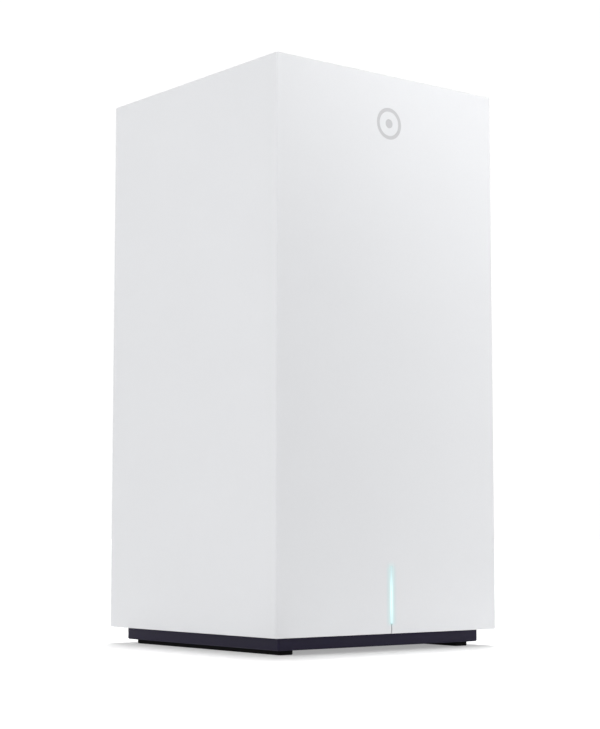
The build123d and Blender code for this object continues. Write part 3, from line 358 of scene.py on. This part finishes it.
def blank_label():
    """Blank silver foil label with a fine brushed grain and a plain border line."""
    label_low, label_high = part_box("rating_label")
    middle = (label_low + label_high) / 2
    shader = Shader("blank_label")
    x, y, _ = shader.split()
    across = shader.math("ABSOLUTE", shader.math("SUBTRACT", x, middle.x))
    along = shader.math("ABSOLUTE", shader.math("SUBTRACT", y, middle.y))
    gap_x = shader.math("SUBTRACT", label_high.x - middle.x, across)
    gap_y = shader.math("SUBTRACT", label_high.y - middle.y, along)
    gap = shader.math("MINIMUM", gap_x, gap_y)
    inside = shader.math("GREATER_THAN", gap, BORDER_GAP)
    outside = shader.math("LESS_THAN", gap, BORDER_GAP + BORDER_LINE)
    line = shader.math("MULTIPLY", inside, outside)
    grain = shader.noise(500, 2.0, 0.6, shader.stretch((0.08, 1.0, 1.0)))
    foil = shader.ramp(grain, [(0.3, (0.50, 0.51, 0.52)), (0.7, (0.60, 0.61, 0.62))])
    shader.join(shader.mix(line, foil, (0.09, 0.09, 0.10)), "Base Color")
    shader.join(shader.span(grain, 0.3, 0.7, 0.32, 0.45), "Roughness")
    shader.join(shader.span(line, 0, 1, 0.6, 0.0), "Metallic")
    shader.bump(grain, 0.15, 0.01 * MM)
    return shader


def status_light(name, colour, strength):
    """A lit package: pale resin that glows a little unevenly."""
    shader = Shader(name)
    cloud = shader.noise(1500, 2.0, 0.5)
    shader.join(shader.ramp(cloud, [(0.3, (0.66, 0.70, 0.68)), (0.7, (0.80, 0.84, 0.82))]), "Base Color")
    shader.join(shader.span(cloud, 0.3, 0.7, strength * 0.8, strength), "Emission Strength")
    shader.set(Emission_Color=(*colour, 1), Roughness=0.25)
    return shader


# Moulded finishes: colour, roughness, grain, depth and edge radius in mm, and mottle.
MOULDED = {
    "white_button": (shade(WHITE, 0.96), 0.38, 3000, 0.012, 0.2, 0.012),
    "charcoal_base": ((0.0115, 0.0085, 0.027), 0.5, 1700, 0.035, 0.2, 0.16),
    "foot_rubber": ((0.0045, 0.0045, 0.005), 0.8, 1300, 0.05, 0.15, 0.25),
    "grey_mark": ((0.475, 0.475, 0.49), 0.42, 2600, 0.01, 0.0, 0.02),
    "dark_ink": ((0.10, 0.10, 0.11), 0.45, 2600, 0.006, 0.0, 0.08),
    "black_plastic": ((0.018, 0.018, 0.020), 0.46, 2400, 0.02, 0.12, 0.18),
    "grey_plastic": ((0.27, 0.28, 0.30), 0.52, 1900, 0.03, 0.15, 0.05),
    "mesh_plastic": ((0.025, 0.025, 0.028), 0.6, 2600, 0.02, 0.0, 0.2),
    "chip_package": ((0.024, 0.024, 0.026), 0.5, 4200, 0.015, 0.0, 0.22),
    "ferrite": ((0.06, 0.058, 0.062), 0.62, 1500, 0.05, 0.3, 0.2),
    "thermal_pad": ((0.36, 0.44, 0.58), 0.7, 1100, 0.06, 0.0, 0.08),
    "lead_jacket": ((0.028, 0.028, 0.030), 0.36, 1800, 0.01, 0.0, 0.15),
    "card_plastic": ((0.74, 0.745, 0.765), 0.3, 3000, 0.006, 0.0, 0.02),
    "jack_light_green": ((0.10, 0.62, 0.16), 0.22, 1500, 0.008, 0.0, 0.1),
    "jack_light_amber": ((0.85, 0.38, 0.03), 0.22, 1500, 0.008, 0.0, 0.1),
}
# Specular level of the two darkest finishes, lower than that of the others.
DULLED = {"charcoal_base": 0.15, "foot_rubber": 0.1}
# Metals: colour, roughness, stretch of the lines along X, Y and Z, tarnish and edge radius in mm.
METALS = {
    "plain_steel": ((0.60, 0.59, 0.57), 0.30, (1, 1, 0.06), 0.06, 0.12),
    "screw_steel": ((0.40, 0.40, 0.42), 0.34, (1, 1, 1), 0.12, 0.1),
    "gold_contact": ((0.80, 0.58, 0.26), 0.24, (1, 0.2, 1), 0.08, 0.0),
    "extruded_aluminium": ((0.66, 0.67, 0.69), 0.36, (1, 1, 0.04), 0.07, 0.12),
    "capacitor_can": ((0.52, 0.54, 0.60), 0.28, (0.1, 1, 1), 0.06, 0.25),
}

finishes = {
    "white_housing": housing("white_housing"),
    "white_housing_sleeve": sleeve_finish(),
    "lit_guide": light_guide_finish(),
    "circuit_board": circuit_board(),
    "antenna_film": antenna_film(),
    "led_package": status_light("led_package", (0.2, 0.85, 0.95), 1.2),
    "blank_label": blank_label(),
}
for slot, (colour, rough, grain, depth, edge, mottle) in MOULDED.items():
    finishes[slot] = moulded(slot, colour, rough, grain, depth * MM, mottle, edge=edge * MM)
for slot, specular in DULLED.items():
    finishes[slot].set(Specular_IOR_Level=specular)
for slot, (colour, rough, along, tarnish, edge) in METALS.items():
    finishes[slot] = metal(slot, colour, rough, along, tarnish=tarnish, edge=edge * MM)
# The node whose finish isn't simply that of its material slot.
NODE_FINISH = {"outer_sleeve": "white_housing_sleeve"}

for subpart in frame["record"]["subparts"]:
    node = subpart["node"]
    finish = finishes[NODE_FINISH.get(node, subpart["material_slot"])]
    mesh = nodes[node].data
    mesh.materials.clear()
    mesh.materials.append(finish.material)


# ---------------------------------------------------------------------------
# Printed symbols and jack lights on the rear panel
# ---------------------------------------------------------------------------
PRINT_LINE = 0.26 * MM  # line width of the printed symbols
PRINT_THICK = 0.05 * MM
BUTTON_LINE = 0.3 * MM  # line width of the symbols on the buttons
LENS_INSET = 2.25 * MM  # from the side of a network jack to the middle of its light windows
LENS_REACH = 5.2 * MM  # from the middle of the jack up and down to them
LENS_WIDE, LENS_TALL, LENS_CORNER = 1.7 * MM, 2.6 * MM, 0.35 * MM
LENS_THICK, LENS_SOFTEN = 0.14 * MM, 0.05 * MM
dish_floor_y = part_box("sim_tray")[1].y  # the tray's head is flush with the dish floor
icon_x = 9.6 * MM  # between the port openings and the side wall of the dish


def middle_z(node):
    low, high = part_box(node)
    return (low.z + high.z) / 2


def arc(centre, radius, start=0.0, end=360.0, squeeze=1.0, line=PRINT_LINE, steps=36):
    """Quads along a circular line between two angles in degrees. squeeze narrows it across X."""
    quads = []
    for step in range(steps):
        turns = [math.radians(start + (end - start) * share / steps) for share in (step, step + 1)]
        corners = [(turns[0], radius + line / 2), (turns[1], radius + line / 2)]
        corners += [(turns[1], radius - line / 2), (turns[0], radius - line / 2)]
        quad = []
        for turn, reach in corners:
            quad.append((centre[0] + squeeze * reach * math.cos(turn), centre[1] + reach * math.sin(turn)))
        quads.append(quad)
    return quads


def bar(centre, wide, tall):
    """One upright or level bar."""
    x, z = centre
    left, right, bottom, top = x - wide / 2, x + wide / 2, z - tall / 2, z + tall / 2
    return [[(left, bottom), (right, bottom), (right, top), (left, top)]]


def box_line(centre, wide, tall, line=PRINT_LINE):
    """The four sides of an upright rectangle."""
    x, z = centre
    sides = bar((x, z + tall / 2), wide + line, line) + bar((x, z - tall / 2), wide + line, line)
    return sides + bar((x - wide / 2, z), line, tall - line) + bar((x + wide / 2, z), line, tall - line)


def dot(centre, radius):
    """A round dot, made as a ring with a hole too small to see."""
    return arc(centre, radius / 2, line=radius * 0.999, steps=20)


def rounded(centre, wide, tall, corner, steps=6):
    """The outline of a rectangle with round corners."""
    x, z = centre
    outline = []
    for turn, (side_x, side_z) in enumerate(((1, 1), (-1, 1), (-1, -1), (1, -1))):
        for step in range(steps + 1):
            angle = (turn + step / steps) * math.pi / 2
            outline.append(
                (
                    x + side_x * (wide / 2 - corner) + corner * math.cos(angle),
                    z + side_z * (tall / 2 - corner) + corner * math.sin(angle),
                )
            )
    return [outline]


def plate(name, body, finish, face_y, outlines, thick=PRINT_THICK, soften=0.0):
    """A thin raised plate on a face that looks towards +Y, made from flat outlines in X and Z."""
    build = bmesh.new()
    for outline in outlines:
        build.faces.new([build.verts.new((x, face_y, z)) for x, z in outline])
    bmesh.ops.remove_doubles(build, verts=build.verts, dist=0.0005 * MM)
    grown = bmesh.ops.extrude_face_region(build, geom=list(build.faces))
    raised = [item for item in grown["geom"] if isinstance(item, bmesh.types.BMVert)]
    bmesh.ops.translate(build, verts=raised, vec=(0, thick, 0))
    bmesh.ops.recalc_face_normals(build, faces=build.faces)
    if soften:
        rim = [edge for edge in build.edges if all(vert.co.y > face_y + thick / 2 for vert in edge.verts)]
        bmesh.ops.bevel(build, geom=rim, offset=soften, segments=3, affect="EDGES")
    mesh = bpy.data.meshes.new(name)
    build.to_mesh(mesh)
    build.free()
    piece = bpy.data.objects.new(name, mesh)
    bpy.context.scene.collection.objects.link(piece)
    mesh.materials.append(finish.material)
    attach(piece, body)


def printed(name, body, face_y, outlines):
    """A symbol printed in dark ink."""
    plate(name, body, finishes["dark_ink"], face_y, outlines)


def port_symbols():
    """One plain symbol beside each port and the reset hole, level with it."""
    wan = (icon_x, middle_z("wan_jack_shield"))
    globe = arc(wan, 1.5 * MM) + arc(wan, 1.5 * MM, squeeze=0.42) + bar(wan, 3.0 * MM, PRINT_LINE)
    printed("wan_symbol", ROUTER, dish_floor_y, globe)

    x, z = icon_x, middle_z("lan_jack_shield")
    tree = box_line((x, z + 1.3 * MM), 0.9 * MM, 0.9 * MM) + bar((x, z + 0.3 * MM), PRINT_LINE, 0.9 * MM)
    tree += bar((x, z - 0.1 * MM), 2.6 * MM, PRINT_LINE)
    for side in (-1, 1):
        tree += bar((x + side * 1.2 * MM, z - 0.45 * MM), PRINT_LINE, 0.6 * MM)
        tree += box_line((x + side * 1.2 * MM, z - 1.3 * MM), 0.9 * MM, 0.9 * MM)
    printed("lan_symbol", ROUTER, dish_floor_y, tree)

    x, z = icon_x, middle_z("usb_port_shield")
    plug = box_line((x, z), 2.6 * MM, 1.7 * MM)
    for side in (-1, 1):
        plug += bar((x + side * 0.6 * MM, z), 0.5 * MM, 0.5 * MM)
    printed("usb_symbol", ROUTER, dish_floor_y, plug)

    x, z = icon_x, middle_z("sim_tray")
    card = box_line((x, z), 1.9 * MM, 2.6 * MM) + box_line((x, z - 0.4 * MM), 0.8 * MM, 0.8 * MM)
    printed("sim_symbol", ROUTER, dish_floor_y, card)

    x, z = icon_x, middle_z("dc_jack_pin")
    supply = bar((x, z + 0.4 * MM), 3.0 * MM, PRINT_LINE)
    for place in (-1, 0, 1):
        supply += bar((x + place * 1.1 * MM, z - 0.4 * MM), 0.8 * MM, PRINT_LINE)
    printed("dc_symbol", ROUTER, dish_floor_y, supply)

    centre = (icon_x, middle_z("reset_plunger"))
    printed("reset_symbol", ROUTER, dish_floor_y, arc(centre, 1.0 * MM, 120, 420) + dot(centre, 0.3 * MM))


def button_symbols():
    """Plain symbols on the two push buttons. They ride on the buttons."""
    low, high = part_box("power_button")
    centre = ((low.x + high.x) / 2, (low.z + high.z) / 2)
    power = arc(centre, 1.35 * MM, 125, 415, line=BUTTON_LINE)
    power += bar((centre[0], centre[1] + 1.0 * MM), BUTTON_LINE, 1.5 * MM)
    printed("power_symbol", "power_button", high.y, power)

    low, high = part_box("wps_button")
    centre = ((low.x + high.x) / 2, (low.z + high.z) / 2 - 1.0 * MM)
    waves = dot(centre, 0.38 * MM)
    for reach in (1.1, 1.9):
        waves += arc(centre, reach * MM, 45, 135, line=BUTTON_LINE, steps=16)
    printed("wps_symbol", "wps_button", high.y, waves)


def jack_lights():
    """Two small light windows in the corners beside each network jack's latch slot."""
    for port in ("wan", "lan"):
        low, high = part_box(f"{port}_jack_insert")
        middle = (low.z + high.z) / 2
        for tint, side in (("green", 1), ("amber", -1)):
            centre = (low.x + LENS_INSET, middle + side * LENS_REACH)
            outline = rounded(centre, LENS_WIDE, LENS_TALL, LENS_CORNER)
            name = f"{port}_{tint}_light"
            finish = finishes[f"jack_light_{tint}"]
            plate(name, ROUTER, finish, high.y, outline, LENS_THICK, LENS_SOFTEN)


port_symbols()
button_symbols()
jack_lights()

# ---------------------------------------------------------------------------
# Floor, world and lights
# ---------------------------------------------------------------------------
FLOOR_HALF = 30.0  # metres
FLOOR_GLOW = 0.35


def sheet_on_ground(name, half_size):
    """A flat square sheet at z = 0, divided into a grid."""
    mesh = bpy.data.meshes.new(name)
    build = bmesh.new()
    bmesh.ops.create_grid(build, x_segments=8, y_segments=8, size=half_size)
    build.to_mesh(mesh)
    build.free()
    sheet = bpy.data.objects.new(name, mesh)
    bpy.context.scene.collection.objects.link(sheet)
    return sheet


floor = sheet_on_ground("studio_floor", FLOOR_HALF)
floor_finish = Shader("studio_floor")
paper = floor_finish.noise(6, 2.0, 0.5)
pale = floor_finish.ramp(paper, [(0.3, (0.67, 0.67, 0.67)), (0.7, (0.68, 0.68, 0.68))])
floor_finish.join(pale, "Base Color")
# The sheet glows a little, as backlit acrylic does, so the shadow under the router stays pale.
floor_finish.set(Roughness=0.9, Specular_IOR_Level=0.1)
floor_finish.set(Emission_Color=(1, 1, 1, 1), Emission_Strength=FLOOR_GLOW)
floor.data.materials.append(floor_finish.material)

# White up to the height where From Min is reached, then falling to a dim dome overhead.
DOME = (("From Min", 0.31), ("From Max", 0.46), ("To Min", 1.02), ("To Max", 0.12))

world = bpy.data.worlds.new("studio")
bpy.context.scene.world = world
world.use_nodes = True
sky = world.node_tree
background = sky.nodes["Background"]
direction = sky.nodes.new("ShaderNodeTexCoord").outputs["Generated"]
parts = sky.nodes.new("ShaderNodeSeparateXYZ")
dome = sky.nodes.new("ShaderNodeMapRange")
dome.interpolation_type = "SMOOTHSTEP"
for socket, value in DOME:
    dome.inputs[socket].default_value = value
sky.links.new(direction, parts.inputs[0])
sky.links.new(parts.outputs["Z"], dome.inputs["Value"])
sky.links.new(dome.outputs["Result"], background.inputs["Strength"])
background.inputs["Color"].default_value = (1, 1, 1, 1)


def aim(lamp, place, target):
    """Puts a lamp at a place and turns it to shine at a target."""
    lamp.location = place
    lamp.rotation_euler = (Vector(target) - Vector(place)).to_track_quat("-Z", "Y").to_euler()


def soft_box(name, place, target, wide, tall, power):
    """A rectangular soft box that the camera doesn't see."""
    data = bpy.data.lights.new(name, "AREA")
    data.shape = "RECTANGLE"
    data.size = wide
    data.size_y = tall
    data.energy = power
    lamp = bpy.data.objects.new(name, data)
    lamp.visible_camera = False
    bpy.context.scene.collection.objects.link(lamp)
    aim(lamp, place, target)
    return lamp


SUN_ENERGY = 2.9
SUN_ANGLE = math.radians(9)
SUN_PLACE = (0.17, 0.19, 2)  # it leans from behind and from the right, so shadows fall to the front left

# Name, place, target, width, height and power of each soft box, in metres and watts.
SOFT_BOXES = (
    ("top_strip", (0.05, -0.155, 0.26), (0.05, front_y, 0.14), 0.20, 0.03, 0.074),
    ("right_strip", (0.12, -0.135, 0.125), (0.03, front_y, 0.12), 0.03, 0.25, 0.033),
    ("left_fill", (-0.70, -0.20, 0.52), (-0.05, 0.0, 0.11), 0.4, 0.4, 1.66),
    ("right_fill", (0.75, 0.25, 0.50), (0.05, 0.0, 0.11), 0.4, 0.4, 0.55),
    ("rear_fill", (-0.15, 0.80, 0.50), (0.0, 0.05, 0.11), 0.4, 0.4, 0.5),
)

CARD_GAP = 4 * MM
CARD_WIDTH = 16 * MM
CARD_HEIGHT = 0.6 * MM
CARD_POWERS = (0.0038, 0.0038, 0.0022, 0.0038)  # +X, +Y, -X and -Y sides

overhead_data = bpy.data.lights.new("overhead", "SUN")
overhead_data.energy = SUN_ENERGY
overhead_data.angle = SUN_ANGLE
overhead = bpy.data.objects.new("overhead", overhead_data)
bpy.context.scene.collection.objects.link(overhead)
aim(overhead, SUN_PLACE, (0, 0, 0))

for settings in SOFT_BOXES:
    soft_box(*settings)

# Flat cards on the floor along each side, facing up, lift the lowest part of the walls.
for turn, power in enumerate(CARD_POWERS):
    angle = turn * math.pi / 2
    outward = Vector((math.cos(angle), math.sin(angle), 0))
    middle = outward * (sleeve_high.x + CARD_GAP + CARD_WIDTH / 2) + Vector((0, 0, CARD_HEIGHT))
    wide, tall = (CARD_WIDTH, 2 * sleeve_high.x) if turn % 2 == 0 else (2 * sleeve_high.x, CARD_WIDTH)
    card = soft_box(f"card_{turn}", middle, middle + Vector((0, 0, 1)), wide, tall, power)
    card.rotation_euler = (math.pi, 0, 0)  # face up, with its width along X and its height along Y

bpy.context.scene.view_settings.view_transform = "Standard"
